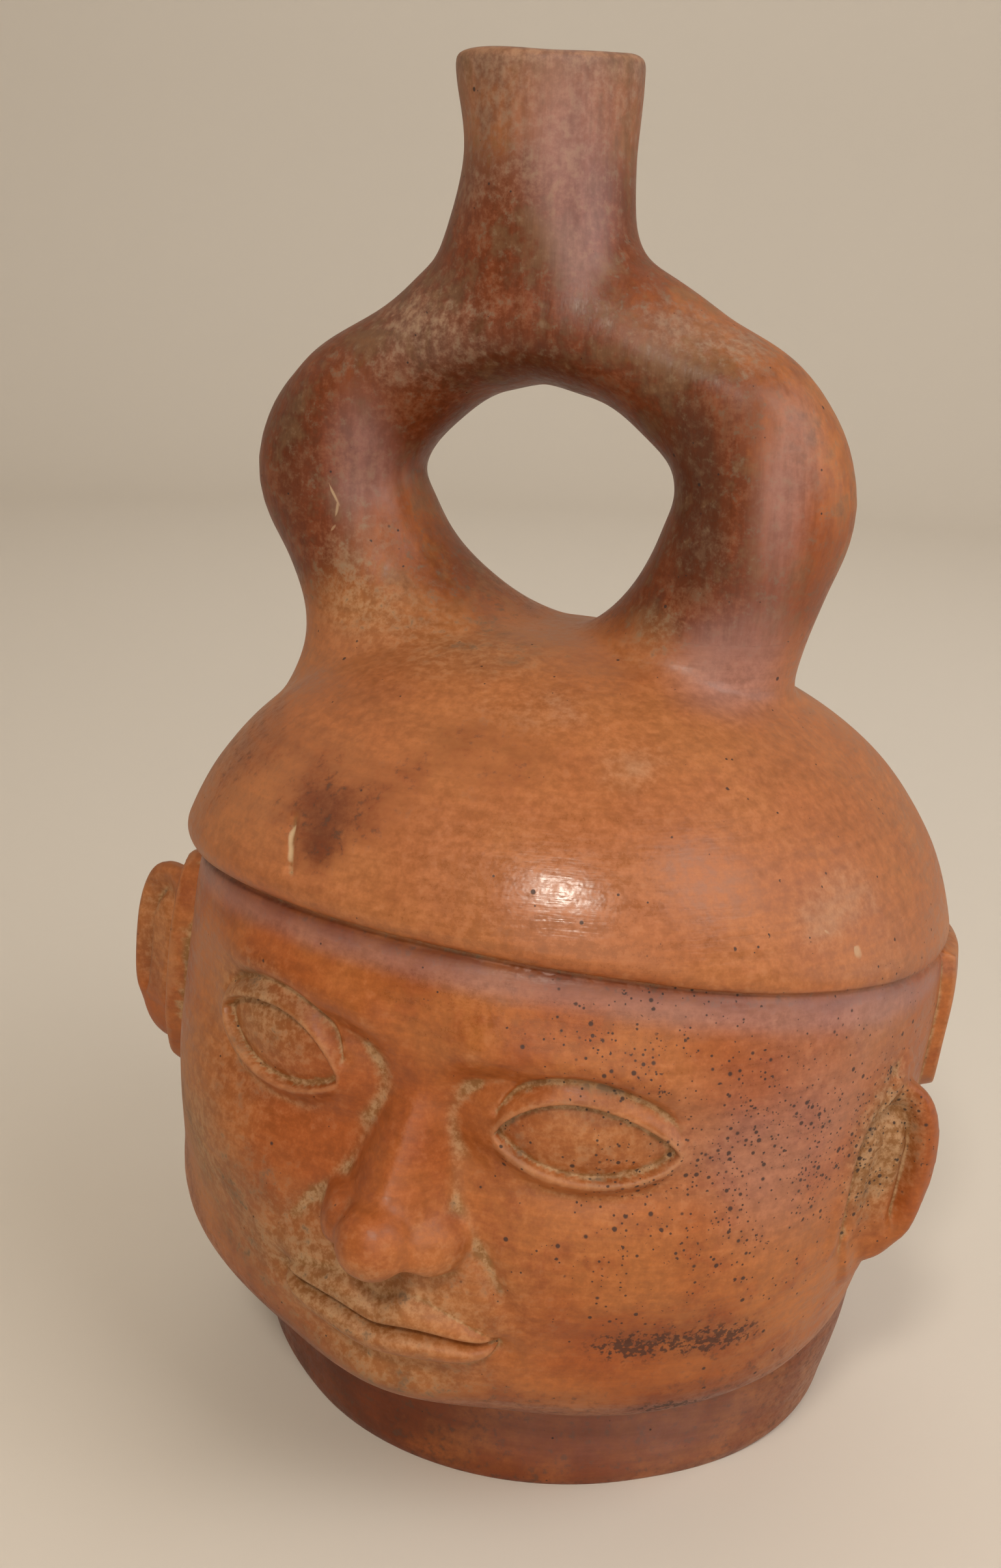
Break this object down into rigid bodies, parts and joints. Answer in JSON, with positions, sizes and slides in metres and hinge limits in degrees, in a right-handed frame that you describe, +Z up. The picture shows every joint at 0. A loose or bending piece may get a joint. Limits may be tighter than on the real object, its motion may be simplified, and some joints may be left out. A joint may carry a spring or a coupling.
{
  "type": "portrait head vessel",
  "caption": "Hollow burnished earthenware bottle shaped as a leaning human head in a close cap, on a flat foot, with a stirrup handle and a short spout.",
  "frame": {"origin": "centre of the foot's flat underside", "axes": "+Z up along the spout, -Y the way the face looks, +X the side of the head's left ear"},
  "size_m": [0.191, 0.1813, 0.3],
  "materials": {
    "burnished_clay": "satin"
  },
  "bodies": {
    "root": {"portrait_head_vessel": "burnished_clay"}
  },
  "joints": []
}
